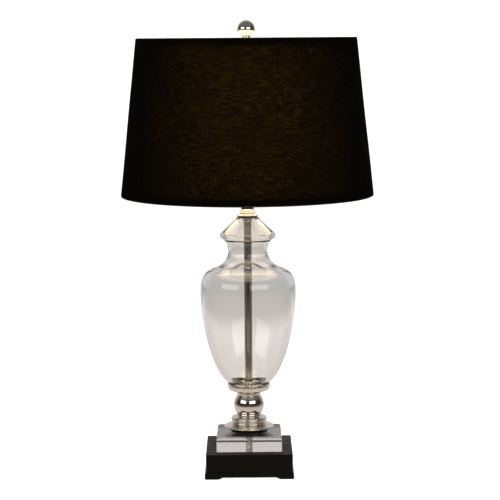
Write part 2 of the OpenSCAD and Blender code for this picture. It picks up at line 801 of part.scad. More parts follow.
module finial_ball() {
    color(nickel) difference() {
        translate([0, 0, finial_ball_z]) sphere(r = finial_r);
        translate([0, 0, finial_ball_z - finial_r - eps])
            cylinder(r = finial_r, h = finial_z + finial_base_h - finial_ball_z + finial_r + eps);
        translate([0, 0, finial_z]) cylinder(r = stud_r + 0.35, h = 11);
    }
}

foot_pads();
plinth_front();
plinth_back();
plinth_left();
plinth_right();
corner_blocks();
base_board();
bottom_cover();
cover_screws();
cord_bushing();
bottom_washer();
bottom_nut();
threaded_pipe();
block_gasket();
crystal_block();
column_seat();
column_flange();
column_collar();
column_ball();
ball_ring();
glass_cup();
cup_gasket();
glass_urn();
centre_tube();
tube_foot();
tube_head();
cap_gasket();
vase_cap();
cap_ring();
neck_spindle();
harp_saddle();
pipe_locknut();
socket_cap();
cap_set_screw();
socket_shell();
insulating_sleeve();
socket_body();
socket_screw_shell();
socket_contact();
terminal_screws();
switch_stem();
switch_knob();
harp_wire();
harp_seat();
harp_ferrule_left();
harp_ferrule_right();
bulb_glass();
bulb_base();
bulb_insulator();
bulb_contact();
bulb_stem();
bulb_filament();
shade_fabric();
shade_liner();
shade_top_ring();
shade_bottom_ring();
shade_spider();
finial_base();
finial_ball();
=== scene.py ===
"""Looks of the table lamp: finely turned metal and glass, cloth shade, lacquered plinth, light and camera."""

import json
import math

import bmesh
import bpy
from mathutils import Matrix, Vector


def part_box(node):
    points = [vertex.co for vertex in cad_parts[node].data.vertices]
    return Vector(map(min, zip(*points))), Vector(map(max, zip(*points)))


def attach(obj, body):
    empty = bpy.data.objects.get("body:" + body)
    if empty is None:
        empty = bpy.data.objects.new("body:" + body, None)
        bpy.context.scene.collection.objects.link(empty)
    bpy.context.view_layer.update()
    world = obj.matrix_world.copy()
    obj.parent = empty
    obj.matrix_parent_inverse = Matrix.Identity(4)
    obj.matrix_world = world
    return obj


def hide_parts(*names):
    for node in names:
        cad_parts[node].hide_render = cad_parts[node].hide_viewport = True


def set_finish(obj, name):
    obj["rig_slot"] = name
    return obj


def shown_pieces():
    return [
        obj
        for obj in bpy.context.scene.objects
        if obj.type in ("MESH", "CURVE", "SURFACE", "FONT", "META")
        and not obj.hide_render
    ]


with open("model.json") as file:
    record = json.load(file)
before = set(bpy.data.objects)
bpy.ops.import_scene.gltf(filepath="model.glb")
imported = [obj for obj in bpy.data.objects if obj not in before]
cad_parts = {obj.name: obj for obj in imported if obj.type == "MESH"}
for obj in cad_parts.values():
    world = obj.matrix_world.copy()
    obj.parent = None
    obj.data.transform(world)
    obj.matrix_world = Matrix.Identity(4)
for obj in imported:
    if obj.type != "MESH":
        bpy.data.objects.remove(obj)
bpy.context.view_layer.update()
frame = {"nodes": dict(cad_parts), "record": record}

NODES = frame["nodes"]
RECORD = frame["record"]
BODY_OF = {n: body for body, nodes in RECORD["behaviour"]["bodies"].items() for n in nodes}
SLOT_OF = {part["node"]: part["material_slot"] for part in RECORD["subparts"]}

TAU = 2 * math.pi
WELD = 1e-6  # metres: vertices nearer than this are one
NO_LENGTH = 1e-7  # metres: anything shorter counts as nothing
STRAIGHT = 1e-4  # radians: a point where an outline turns by less than this is left out
STRAIGHT_SPAN = 1e-3  # radians: a span whose ends lean off it by less than this is drawn straight
CORNER = math.radians(20)  # an outline that turns by more than this has a corner there
FLAT = math.radians(0.5)  # faces that meet at less than this are one flat region
SHARP = math.radians(35)  # edges that turn by more than this are rounded over, or stay sharp in the shading
LEVEL = 1e-5  # metres: heights nearer than this are the same
EASE_SHARE = 0.3  # an eased corner uses at most this share of the spans beside it
EASE_STEPS = 4
CURVE_STEP, CURVE_STEPS = 0.0008, 6  # a curved span has a point at least this often, up to this many


# ---------------------------------------------------------------- meshes


def new_object(name, data):
    made = bpy.data.objects.new(name, data)
    bpy.context.scene.collection.objects.link(made)
    return made


def object_from(name, vertices, faces):
    """A new smooth-shaded object whose faces all point outwards."""
    mesh = bpy.data.meshes.new(name)
    mesh.from_pydata(vertices, [], faces)
    work = bmesh.new()
    work.from_mesh(mesh)
    bmesh.ops.recalc_face_normals(work, faces=work.faces)
    work.to_mesh(mesh)
    work.free()
    mesh.shade_smooth()
    return new_object(name, mesh)


def stand_for(piece, *nodes):
    """piece takes the place, the body and the material slot of the CAD nodes."""
    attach(piece, BODY_OF[nodes[0]])
    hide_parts(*nodes)
    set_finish(piece, SLOT_OF[nodes[0]])
    return piece


def section(node):
    """Outline of a turned CAD node in its half plane, as (radius, height), and whether it is a loop."""
    low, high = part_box(node)
    axis = (low + high) / 2
    work = bmesh.new()
    work.from_mesh(NODES[node].data)
    bmesh.ops.remove_doubles(work, verts=work.verts, dist=WELD)
    every = work.verts[:] + work.edges[:] + work.faces[:]
    cut = bmesh.ops.bisect_plane(work, geom=every, plane_co=axis, plane_no=(0, 1, 0), dist=WELD)
    beside = {}
    for edge in cut["geom_cut"]:
        if isinstance(edge, bmesh.types.BMEdge) and all(v.co.x - axis.x > -WELD for v in edge.verts):
            for v in edge.verts:
                beside.setdefault(v, []).append(edge.other_vert(v))
    ends = [v for v in beside if len(beside[v]) == 1]
    start = min(ends or beside, key=lambda v: (v.co.z, v.co.x))
    chain, last = [start], None
    while True:
        onward = [v for v in beside[chain[-1]] if v is not last and v is not start]
        last = chain[-1]
        if not onward:
            break
        chain.append(onward[0])
    points = [Vector((max(v.co.x - axis.x, 0), v.co.z)) for v in chain]
    work.free()
    return points, not ends


def without_straight_points(points, closed):
    """The outline without the points that double up or lie on a straight line."""
    kept = []
    for i, p in enumerate(points):
        if not closed and i in (0, len(points) - 1):
            kept.append(p)
            continue
        back, on = p - points[i - 1], points[(i + 1) % len(points)] - p
        if min(back.length, on.length) > NO_LENGTH and back.angle(on) > STRAIGHT:
            kept.append(p)
    return kept


def fine_outline(points, closed, ease):
    """The outline with smooth curves drawn through its points, and its corners eased over `ease` metres."""
    points = without_straight_points(points, closed)
    count = len(points)
    spans = count if closed else count - 1
    run = [points[(i + 1) % count] - points[i] for i in range(spans)]
    corner, heading = [], []
    for i in range(count):
        back, on = run[(i - 1) % spans], run[i % spans]
        end = not closed and i in (0, count - 1)
        corner.append(not end and back.angle(on) > CORNER)
        if end:
            heading.append((on if i == 0 else run[spans - 1]).normalized())
        else:
            heading.append((back * back.length + on * on.length).normalized())
    out = []
    for i in range(spans):
        a, b, along = points[i], points[(i + 1) % count], run[i].normalized()
        trim = min(ease, EASE_SHARE * run[i].length)
        from_corner, to_corner = corner[i], corner[(i + 1) % count]
        start = a + along * trim if from_corner else a
        stop = b - along * trim if to_corner else b
        if from_corner:
            before = run[(i - 1) % spans]
            leave = a - before.normalized() * min(ease, EASE_SHARE * before.length)
            out += [bezier2(leave, a, start, t / EASE_STEPS) for t in range(1, EASE_STEPS)]
        lead = along if from_corner else heading[i]
        trail = along if to_corner else heading[(i + 1) % count]
        length = (stop - start).length
        if max(lead.angle(along), trail.angle(along)) < STRAIGHT_SPAN:
            out.append(start)
            if length > 4 * ease:
                out += [start + along * ease, stop - along * ease]
        else:
            steps = max(1, min(CURVE_STEPS, math.ceil(length / CURVE_STEP)))
            out += [hermite(start, stop, lead * length, trail * length, t / steps) for t in range(steps)]
        if to_corner or (not closed and i == spans - 1):
            out.append(stop)
    return out


def bezier2(a, b, c, t):
    """The point at share t of the curve from a to c that b pulls on."""
    return a * (1 - t) ** 2 + b * 2 * t * (1 - t) + c * t * t


def hermite(a, b, lead, trail, t):
    """The point at share t of the curve from a to b that leaves along lead and arrives along trail."""
    return (
        a * (2 * t**3 - 3 * t**2 + 1)
        + lead * (t**3 - 2 * t**2 + t)
        + b * (3 * t**2 - 2 * t**3)
        + trail * (t**3 - t**2)
    )


def spin(name, points, closed, sides, centre=(0, 0), shift=None):
    """The outline turned about a vertical axis. shift(angle, radius, height) may move each point outwards."""
    vertices, rings, faces = [], [], []
    for r, z in points:
        if r < NO_LENGTH:
            rings.append([len(vertices)] * sides)
            vertices.append((*centre, z))
            continue
        rings.append(range(len(vertices), len(vertices) + sides))
        for k in range(sides):
            a = TAU * k / sides
            out = r + (shift(a, r, z) if shift else 0)
            vertices.append((centre[0] + out * math.cos(a), centre[1] + out * math.sin(a), z))
    for i in range(len(rings) if closed else len(rings) - 1):
        low, high = rings[i], rings[(i + 1) % len(rings)]
        for k in range(sides):
            n = (k + 1) % sides
            corners = dict.fromkeys([low[k], low[n], high[n], high[k]])
            if len(corners) > 2:
                faces.append(list(corners))
    return object_from(name, vertices, faces)


def drawn_in(outline, by):
    """The closed outline moved inwards, so that it doesn't share a face with what it touches."""
    count = len(outline)
    area = sum(a.x * b.y - b.x * a.y for a, b in zip(outline, outline[1:] + outline[:1]))
    turn = 1 if area > 0 else -1
    moved = []
    for i, p in enumerate(outline):
        along = (outline[(i + 1) % count] - outline[i - 1]).normalized()
        moved.append(p + Vector((-along.y, along.x)) * turn * by)
    return moved


def turned(node, sides=128, ease=0.0003, clearance=0.0):
    """A finely turned piece in place of a turned CAD node."""
    points, closed = section(node)
    low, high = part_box(node)
    centre = ((low + high) / 2)[:2]
    outline = fine_outline(points, closed, ease)
    if clearance:
        outline = drawn_in(outline, clearance)
    return stand_for(spin(node + "_turned", outline, closed, sides, centre), node)


def copied(node, ending):
    """A copy of a CAD node with each flat region as one face, named after it."""
    work = bmesh.new()
    work.from_mesh(NODES[node].data)
    bmesh.ops.remove_doubles(work, verts=work.verts, dist=WELD)
    bmesh.ops.dissolve_limit(work, angle_limit=FLAT, verts=work.verts, edges=work.edges)
    work.verts.index_update()
    vertices = [v.co[:] for v in work.verts]
    faces = [[v.index for v in f.verts] for f in work.faces]
    work.free()
    return object_from(node + ending, vertices, faces)


def eased(node, width, segments):
    """A copy of a CAD node with its edges rounded over, in its place."""
    piece = copied(node, "_eased")
    edge = piece.modifiers.new("edge", "BEVEL")
    edge.width = width
    edge.segments = segments
    edge.limit_method = "ANGLE"
    edge.angle_limit = SHARP
    edge.harden_normals = True
    return stand_for(piece, node)


def rounded(node):
    """A copy of a CAD node's facets smoothed into one flowing surface, in its place."""
    piece = copied(node, "_rounded")
    smooth = piece.modifiers.new("smooth", "SUBSURF")
    smooth.levels = smooth.render_levels = 1
    return stand_for(piece, node)


# ---------------------------------------------------------------- materials


SHADE_MID_RADIUS = 0.19  # where the cloth's pattern has its true size
SLUB_RANGE = (0.38, 0.62)  # of the noise behind the cloth's thick and thin threads
CLOTH_GAPS = 0.5  # mean share of the cloth that is open between its threads, a face
CLOTH_DENSITY = 4300.0  # how fast the cloth's thickness dims what passes, a metre
BULB_GLOW = 3.0  # brightness of the bulb's glass to the eye
BULB_POWER = 1.3  # watts of light from the bulb
BULB_COLOUR = (1.0, 0.85, 0.6)


class Finish:
    """A node material with one Principled shader and helpers for the textures that drive it."""

    def __init__(self, name, **settings):
        self.material = bpy.data.materials.new(name)
        self.material.use_nodes = True
        self.nodes = self.material.node_tree.nodes
        self.links = self.material.node_tree.links
        self.shader = self.nodes["Principled BSDF"]
        self.output = self.nodes["Material Output"]
        self.place = self.nodes.new("ShaderNodeTexCoord").outputs["Object"]
        for socket, value in settings.items():
            self.shader.inputs[socket.replace("_", " ")].default_value = value

    def node(self, kind, **settings):
        made = self.nodes.new("ShaderNode" + kind)
        for name, value in settings.items():
            setattr(made, name, value)
        return made

    def join(self, source, target):
        self.links.new(source, target)

    def noise(self, scale, detail, stretch=(1, 1, 1), place=None):
        """Soft noise; scale is in features a metre, and less along an axis whose stretch is below 1."""
        mapping = self.node("Mapping")
        mapping.inputs["Scale"].default_value = stretch
        self.join(place or self.place, mapping.inputs["Vector"])
        made = self.node("TexNoise")
        made.inputs["Scale"].default_value = scale
        made.inputs["Detail"].default_value = detail
        made.inputs["Roughness"].default_value = 0.55
        self.join(mapping.outputs["Vector"], made.inputs["Vector"])
        return made.outputs["Fac"]

    def ranged(self, value, low, high, from_low=0.3, from_high=0.7):
        """value carried from one range to another, and held at its ends. Noise mostly keeps to 0.3 to 0.7."""
        made = self.node("MapRange")
        made.inputs["From Min"].default_value = from_low
        made.inputs["From Max"].default_value = from_high
        made.inputs["To Min"].default_value = low
        made.inputs["To Max"].default_value = high
        self.join(value, made.inputs["Value"])
        return made.outputs["Result"]

    def calc(self, operation, a, b=0.0):
        """One Math node on two values, each a socket or a plain number."""
        made = self.node("Math", operation=operation)
        for socket, value in zip(made.inputs, (a, b)):
            if isinstance(value, (int, float)):
                socket.default_value = value
            else:
                self.join(value, socket)
        return made.outputs[0]

    def colour(self, pattern, first, second):
        """Base colour that goes from one colour to another with a pattern."""
        made = self.node("Mix", data_type="RGBA")
        self.join(pattern, made.inputs["Factor"])
        made.inputs["A"].default_value = (*first, 1)
        made.inputs["B"].default_value = (*second, 1)
        self.join(made.outputs["Result"], self.shader.inputs["Base Color"])

    def roughness(self, value, low, high):
        self.join(self.ranged(value, low, high), self.shader.inputs["Roughness"])

    def bump(self, height, strength, distance):
        made = self.node("Bump")
        made.inputs["Strength"].default_value = strength
        made.inputs["Distance"].default_value = distance
        self.join(height, made.inputs["Height"])
        self.join(made.outputs["Normal"], self.shader.inputs["Normal"])

    def rings(self, scale):
        """Sine ridges one above the other, as on a screw thread; scale is in ridges a metre."""
        made = self.node("TexWave", wave_type="BANDS", bands_direction="Z", wave_profile="SIN")
        made.inputs["Scale"].default_value = scale * math.pi / 10
        made.inputs["Distortion"].default_value = 0.0
        self.join(self.place, made.inputs["Vector"])
        return made.outputs["Fac"]

    def mixed(self, factor, first, second):
        """The material's surface becomes a mix of two shaders."""
        mix = self.node("MixShader")
        self.join(factor, mix.inputs[0])
        self.join(first.outputs[0], mix.inputs[1])
        self.join(second.outputs[0], mix.inputs[2])
        self.join(mix.outputs[0], self.output.inputs["Surface"])


def nickel():
    f = Finish("nickel", Metallic=1.0, Base_Color=(0.8, 0.765, 0.71, 1))
    haze = f.noise(60, 5)
    f.colour(f.ranged(haze, 0, 1), (0.76, 0.72, 0.66), (0.86, 0.83, 0.78))
    f.roughness(f.noise(900, 3, (1, 1, 0.2)), 0.045, 0.1)
    f.bump(f.noise(140, 2), 0.05, 0.0004)
    return f.material


def steel():
    f = Finish("zinc_steel", Metallic=1.0)
    f.colour(f.ranged(f.noise(220, 5), 0, 1), (0.44, 0.42, 0.37), (0.62, 0.6, 0.55))
    f.roughness(f.noise(700, 4), 0.22, 0.42)
    f.bump(f.rings(1060), 0.5, 0.0003)
    return f.material


def plated_wire():
    f = Finish("plated_wire", Metallic=1.0)
    f.colour(f.ranged(f.noise(150, 4), 0, 1), (0.5, 0.5, 0.48), (0.66, 0.65, 0.62))
    f.roughness(f.noise(900, 3), 0.16, 0.3)
    f.bump(f.noise(1500, 2), 0.08, 0.0002)
    return f.material


def brass():
    f = Finish("brass", Metallic=1.0)
    f.colour(f.ranged(f.noise(180, 5), 0, 1), (0.66, 0.5, 0.22), (0.84, 0.66, 0.34))
    f.roughness(f.noise(600, 4), 0.14, 0.3)
    f.bump(f.noise(900, 3), 0.06, 0.0002)
    return f.material


def bulb_metal():
    f = Finish("bulb_metal", Metallic=1.0)
    f.colour(f.ranged(f.noise(300, 4), 0, 1), (0.62, 0.62, 0.6), (0.8, 0.8, 0.78))
    f.roughness(f.noise(900, 3), 0.2, 0.38)
    f.bump(f.noise(1100, 3), 0.1, 0.0002)
    return f.material


def glass(name, tint, waviness):
    """Clear glass with the faint ripple of its making."""
    f = Finish(name, Transmission_Weight=1.0, IOR=1.5, Base_Color=(*tint, 1))
    f.roughness(f.noise(500, 3), 0.0, 0.012)
    f.bump(f.noise(28, 2, (1, 1, 0.35)), waviness, 0.0006)
    return f.material


def bulb_glass():
    """Frosted glass that glows. It doesn't light the scene, because bulb_light does."""
    f = Finish("frosted_glass", Emission_Strength=BULB_GLOW, Emission_Color=(*BULB_COLOUR, 1))
    f.material.cycles.emission_sampling = "NONE"
    f.colour(f.ranged(f.noise(200, 4), 0, 1), (0.86, 0.84, 0.8), (0.93, 0.91, 0.87))
    f.roughness(f.noise(1200, 3), 0.4, 0.55)
    f.bump(f.noise(2500, 2), 0.15, 0.0001)
    return f.material


def lacquer():
    """Satin black lacquer with the grain of the wood just showing through."""
    f = Finish("black_lacquer", Specular_IOR_Level=0.12)
    grain = f.noise(260, 6, (0.06, 0.06, 1.0))
    pores = f.noise(1400, 3, (0.05, 0.05, 1.0))
    f.colour(f.ranged(grain, 0, 1), (0.0022, 0.0023, 0.0018), (0.005, 0.0053, 0.0042))
    f.roughness(f.noise(90, 5), 0.38, 0.55)
    f.bump(f.calc("ADD", grain, f.calc("MULTIPLY", pores, 0.5)), 0.12, 0.0003)
    return f.material


def raw_wood():
    f = Finish("bare_softwood")
    grain = f.noise(120, 6, (0.15, 1.0, 1.0))
    f.colour(f.ranged(grain, 0, 1), (0.34, 0.21, 0.11), (0.55, 0.38, 0.22))
    f.roughness(grain, 0.55, 0.75)
    f.bump(grain, 0.3, 0.0004)
    return f.material


def fibreboard():
    f = Finish("dark_fibreboard")
    flecks = f.noise(1500, 5)
    f.colour(f.ranged(flecks, 0, 1), (0.03, 0.022, 0.016), (0.1, 0.075, 0.05))
    f.roughness(flecks, 0.6, 0.85)
    f.bump(flecks, 0.35, 0.0003)
    return f.material


def matt(name, dark, light, low, high, scale=1800, depth=0.0002):
    """Felt, rubber, cork, card and plastic: a fine-grained surface."""
    f = Finish(name)
    grain = f.noise(scale, 5)
    f.colour(f.ranged(grain, 0, 1), dark, light)
    f.roughness(f.noise(200, 3), low, high)
    f.bump(grain, 0.35, depth)
    return f.material


def shade_place(f):
    """Coordinates that run round the shade in metres, then up it."""
    split = f.node("SeparateXYZ")
    f.join(f.place, split.inputs[0])
    angle = f.calc("ARCTAN2", split.outputs["Y"], split.outputs["X"])
    made = f.node("CombineXYZ")
    f.join(f.calc("MULTIPLY", angle, SHADE_MID_RADIUS), made.inputs["X"])
    f.join(split.outputs["Z"], made.inputs["Y"])
    return made.outputs[0]


def weave(f, place, pitch):
    """Height of a plain weave of round threads with that pitch."""
    split = f.node("SeparateXYZ")
    f.join(place, split.inputs[0])
    warp, weft = (f.calc("SINE", f.calc("MULTIPLY", split.outputs[a], math.pi / pitch)) for a in "XY")
    crossing = f.calc("MULTIPLY", warp, weft)
    over = f.calc("MAXIMUM", f.calc("ABSOLUTE", warp), f.calc("ABSOLUTE", weft))
    return f.calc("ADD", over, f.calc("MULTIPLY", crossing, 0.35))


def shade_cloth():
    """Black linen. Light gets in between its threads, and its thickness dims it, most of all at a slant."""
    f = Finish("black_linen", Specular_IOR_Level=0.01)
    place = shade_place(f)
    across = f.noise(620, 3, (0.1, 1.0, 1.0), place)
    upright = f.noise(620, 3, (1.0, 0.08, 1.0), place)
    slubs = f.calc("ADD", f.calc("MULTIPLY", across, 0.6), f.calc("MULTIPLY", upright, 0.4))
    f.colour(f.ranged(slubs, 0, 1, *SLUB_RANGE), (0.002, 0.0016, 0.0012), (0.0055, 0.0045, 0.0034))
    f.roughness(slubs, 0.75, 0.95)
    threads = weave(f, place, 0.0011)
    f.bump(f.calc("ADD", threads, f.calc("MULTIPLY", slubs, 4.0)), 0.5, 0.0003)
    gap = f.node("BsdfTransparent")
    gap.inputs["Color"].default_value = (1.0, 0.81, 0.26, 1)
    f.mixed(f.ranged(slubs, 0.6 * CLOTH_GAPS, 1.4 * CLOTH_GAPS, *SLUB_RANGE), f.shader, gap)
    fill = f.node("VolumeAbsorption")
    fill.inputs["Color"].default_value = (0, 0, 0, 1)
    fill.inputs["Density"].default_value = CLOTH_DENSITY
    f.join(fill.outputs[0], f.output.inputs["Volume"])
    return f.material


def liner(name, inner_face):
    """Cream styrene. Its inner face scatters the bulb's light both ways, and its outer face passes it on."""
    f = Finish(name)
    grain = f.noise(260, 4, (1.0, 0.25, 1.0), shade_place(f))
    f.colour(f.ranged(grain, 0, 1), (0.8, 0.75, 0.64), (0.88, 0.84, 0.74))
    f.roughness(grain, 0.45, 0.6)
    f.bump(grain, 0.15, 0.0003)
    if inner_face:
        through = f.node("BsdfTranslucent")
        through.inputs["Color"].default_value = (1.0, 0.9, 0.74, 1)
        f.mixed(f.ranged(grain, 0.27, 0.33), f.shader, through)
    else:
        f.mixed(f.ranged(grain, 0.93, 0.97), f.shader, f.node("BsdfTransparent"))
    return f.material


MATERIALS = {
    "felt": matt("black_felt", (0.008, 0.008, 0.008), (0.03, 0.03, 0.03), 0.85, 0.98, 2600, 0.0004),
    "black_wood": lacquer(),
    "raw_wood": raw_wood(),
    "fibreboard": fibreboard(),
    "steel": steel(),
    "black_rubber": matt("black_rubber", (0.006, 0.006, 0.006), (0.016, 0.016, 0.016), 0.5, 0.7),
    "cork": matt("brown_cork", (0.16, 0.075, 0.03), (0.34, 0.18, 0.085), 0.6, 0.85, 900, 0.0003),
    "crystal": glass("crystal", (0.985, 0.98, 0.985), 0.02),
    "clear_glass": glass("blown_glass", (0.985, 0.985, 0.98), 0.12),
    "nickel": nickel(),
    "brass": brass(),
    "black_card": matt("black_card", (0.02, 0.018, 0.015), (0.05, 0.045, 0.04), 0.7, 0.9),
    "black_plastic": matt("black_plastic", (0.006, 0.005, 0.005), (0.014, 0.012, 0.011), 0.18, 0.32),
    "bulb_glass": bulb_glass(),
    "bulb_clear_glass": glass("stem_glass", (0.97, 0.97, 0.97), 0.05),
    "bulb_metal": bulb_metal(),
    "shade_fabric": shade_cloth(),
    "shade_liner": liner("shade_liner", inner_face=True),
    "ring_wire": plated_wire(),
}


def paint(piece, *materials):
    piece.data.materials.clear()
    for material in materials:
        piece.data.materials.append(material)


# ---------------------------------------------------------------- plinth and crystal block


for node in ("plinth_front", "plinth_back", "plinth_left", "plinth_right", "base_board"):
    eased(node, width=0.0005, segments=3)
for node in ("foot_pads", "corner_blocks", "bottom_cover", "bottom_nut", "pipe_locknut", "harp_saddle"):
    eased(node, width=0.0003, segments=2)


AIR_GAP = 0.00006  # between glass and what it stands on
BLOCK_BEVEL = 0.0005


def crystal_block():
    """Square block with rounded top edges, fine bevels elsewhere and a polished bore for the pipe."""
    low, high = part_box("crystal_block")
    low.z += AIR_GAP
    high.z -= AIR_GAP
    heights = {round(v.co.z, 6) for v in NODES["crystal_block"].data.vertices}
    margin = 0.0001
    rounding = high.z - min(z for z in heights if low.z + margin < z < high.z - margin)
    work = bmesh.new()
    bmesh.ops.create_cube(work, size=1, matrix=Matrix.LocRotScale((low + high) / 2, None, high - low))
    weight = work.edges.layers.float.new("bevel_weight_edge")
    for edge in work.edges:
        top = all(v.co.z > high.z - LEVEL for v in edge.verts)
        edge[weight] = 1.0 if top else BLOCK_BEVEL / rounding
    mesh = bpy.data.meshes.new("crystal_block_cut")
    work.to_mesh(mesh)
    work.free()
    mesh.shade_smooth()
    piece = new_object("crystal_block_cut", mesh)
    edge = piece.modifiers.new("edge", "BEVEL")
    edge.limit_method = "WEIGHT"
    edge.width = rounding
    edge.segments = 12
    bore_radius = min(p.x for p in section("crystal_block")[0])
    below, above = low.z - 0.01, high.z + 0.01
    outline = [(bore_radius, below), (bore_radius, above), (0, above), (0, below)]
    bore = spin("bore", outline, closed=True, sides=64)
    cut = piece.modifiers.new("bore", "BOOLEAN")
    cut.operation = "DIFFERENCE"
    cut.object = bore
    cut.solver = "EXACT"
    drawn = piece.evaluated_get(bpy.context.evaluated_depsgraph_get())
    finished = bpy.data.meshes.new_from_object(drawn)
    finished.set_sharp_from_angle(angle=SHARP)
    piece.modifiers.clear()
    piece.data = finished
    bpy.data.objects.remove(bore)
    flat = piece.modifiers.new("flat", "WEIGHTED_NORMAL")
    flat.keep_sharp = True
    stand_for(piece, "crystal_block")


crystal_block()


# ---------------------------------------------------------------- turned pieces


for node in ("column_flange", "column_collar", "column_ball", "ball_ring", "glass_cup"):
    turned(node, sides=160)
turned("glass_urn", sides=192, ease=0.0006, clearance=AIR_GAP)
for node in ("centre_tube", "tube_foot", "tube_head", "vase_cap", "cap_ring", "neck_spindle",
             "finial_base", "finial_ball"):
    turned(node)
for node in ("column_seat", "block_gasket", "cup_gasket", "cap_gasket", "bottom_washer", "threaded_pipe",
             "harp_ferrule_left", "harp_ferrule_right", "bulb_insulator", "bulb_stem"):
    turned(node, sides=80, ease=0.0002)


def bulb_base():
    """The bulb's base with its rolled thread, which fades out at both ends."""
    low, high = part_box("bulb_base")
    points, closed = section("bulb_base")
    outer, inner = max(p.x for p in points), min(p.x for p in points)
    pitch, depth, rings = 0.00362, 0.0009, 90
    first, last, fade_over = low.z + 0.001, high.z - 0.0035, 0.002

    def thread(angle, radius, height):
        fade = max(0, min(1, (height - first) / fade_over, (last - height) / fade_over))
        return depth / 2 * fade * (math.cos(angle - TAU * height / pitch) - 1)

    rise = [low.z + (high.z - low.z) * i / rings for i in range(rings + 1)]
    outline = [Vector((outer, z)) for z in rise] + [Vector((inner, z)) for z in reversed(rise)]
    stand_for(spin("bulb_base_threaded", outline, closed, sides=96, shift=thread), "bulb_base")


bulb_base()
turned("bulb_glass", sides=96, ease=0.0002).visible_shadow = False  # bulb_light shines from inside it


# ---------------------------------------------------------------- harp and fittings


rounded("harp_wire")
for node in ("cover_screws", "cord_bushing", "socket_cap", "cap_set_screw", "socket_shell",
             "insulating_sleeve", "socket_body", "socket_screw_shell", "socket_contact", "terminal_screws",
             "switch_stem", "switch_knob", "harp_seat", "bulb_contact", "shade_spider"):
    eased(node, width=0.00015, segments=2)


# ---------------------------------------------------------------- shade


CLOTH = 0.0006  # thickness
HEM = 0.012  # height of the cloth turned over a wire ring
HEM_INSET = 0.0017  # from the edge of the wall to the hem
HEM_START = 0.0022  # from the wire to where the hem leaves it
WIRE_ROLL = 0.0024  # radius of the cloth's middle round the wire
SEAM_WIDTH = 0.011


def rim_radius(node, height):
    """The node's outer radius at its very top or bottom."""
    return max(p.x for p in section(node)[0] if abs(p.y - height) < LEVEL)


def shade_path(low, high, low_r, high_r):
    """Middle of the cloth in its half plane, from the hem at the top, over the wall, to the hem below."""
    wall = Vector((low_r - high_r, low - high)).normalized()
    inward = Vector((wall.y, -wall.x))
    lead_steps, roll_steps, wall_steps = 6, 16, 40

    def edge(corner, along):
        """From the hem's end to the outer wall, round the wire at one edge. along leads from that edge."""
        centre = corner + along * (WIRE_ROLL + CLOTH / 2) + inward * (WIRE_ROLL + CLOTH / 2)
        start = corner + inward * HEM_INSET
        points = [start + along * HEM, start + along * (2 * WIRE_ROLL + HEM_START)]
        leave, pull = points[-1], -along * 0.004
        join = centre + inward * WIRE_ROLL + along * 0.0003
        points += [hermite(leave, join, pull, pull, t / lead_steps) for t in range(1, lead_steps + 1)]
        for i in range(1, roll_steps + 1):
            a = math.pi * i / roll_steps
            points.append(centre + inward * WIRE_ROLL * math.cos(a) - along * WIRE_ROLL * math.sin(a))
        return points

    top, bottom = edge(Vector((high_r, high)), wall), edge(Vector((low_r, low)), -wall)
    middle = [top[-1].lerp(bottom[-1], i / wall_steps) for i in range(1, wall_steps)]
    return top + middle + bottom[::-1]


def thick(path, thickness):
    """The closed outline of a strip of that thickness along a path."""
    left, right = [], []
    for i, p in enumerate(path):
        along = (path[min(i + 1, len(path) - 1)] - path[max(i - 1, 0)]).normalized()
        side = Vector((along.y, -along.x)) * thickness / 2
        left.append(p + side)
        right.append(p - side)
    return left + right[::-1]


def cloth_shift(angle, radius, height):
    """Slight slackness between the rings, and the lapped seam at the back, steeper on one side."""
    slack = 0.00012 * math.sin(5 * angle + 40 * height) + 0.00008 * math.sin(11 * angle - 25 * height + 1.3)
    inset, lap, steep, gentle = 0.0002, 0.0005, 0.0008, 0.003
    from_back = (angle - math.pi / 2) * radius
    rise = min(1, max(0, (from_back + SEAM_WIDTH / 2) / steep))
    fall = min(1, max(0, (SEAM_WIDTH / 2 - from_back) / gentle))
    return slack - inset + lap * min(rise, fall)


def shade_fabric():
    low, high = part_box("shade_fabric")
    low_r, high_r = (rim_radius("shade_fabric", z) for z in (low.z, high.z))
    outline = thick(shade_path(low.z, high.z, low_r, high_r), CLOTH)
    piece = spin("shade_cloth", outline, closed=True, sides=720, shift=cloth_shift)
    stand_for(piece, "shade_fabric")


shade_fabric()
lining = turned("shade_liner", sides=360, ease=0.0001)
paint(lining, MATERIALS["shade_liner"], liner("liner_back", inner_face=False))
for face in lining.data.polygons:
    if Vector((face.center.x, face.center.y, 0)).dot(face.normal) > 0:
        face.material_index = 1


# ---------------------------------------------------------------- paint what is still plain


for name, cad in NODES.items():
    paint(cad, MATERIALS[SLOT_OF[name]])
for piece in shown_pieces():
    if "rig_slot" in piece and not piece.data.materials:
        paint(piece, MATERIALS[piece["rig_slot"]])


# ---------------------------------------------------------------- studio


def camera():
    """Level with the shade's top, 2.8 m away, looking slightly down, with the photograph's slight lean."""
    data = bpy.data.cameras.new("camera")
    data.lens = 126.0
    data.sensor_width = 36
    data.clip_start, data.clip_end = 0.1, 60
    made = new_object("camera", data)
    place = (0, -2.8, 0.701)
    pitch, lean, turn = math.radians(6.93), math.radians(0.43), math.radians(-0.073)
    look = Matrix.Rotation(turn, 4, "Z") @ Matrix.Rotation(math.pi / 2 - pitch, 4, "X")
    made.matrix_world = Matrix.Translation(place) @ look @ Matrix.Rotation(-lean, 4, "Z")
    bpy.context.scene.camera = made


def ramp(nodes, stops, start, end):
    """Colour ramp through (position, colour) stops, where positions run from start to end."""
    made = nodes.new("ShaderNodeValToRGB")
    elements = made.color_ramp.elements
    while len(elements) < len(stops):
        elements.new(0.5)
    for element, (place, colour) in zip(elements, stops):
        element.position = (place - start) / (end - start)
        element.color = (*colour, 1)
    return made


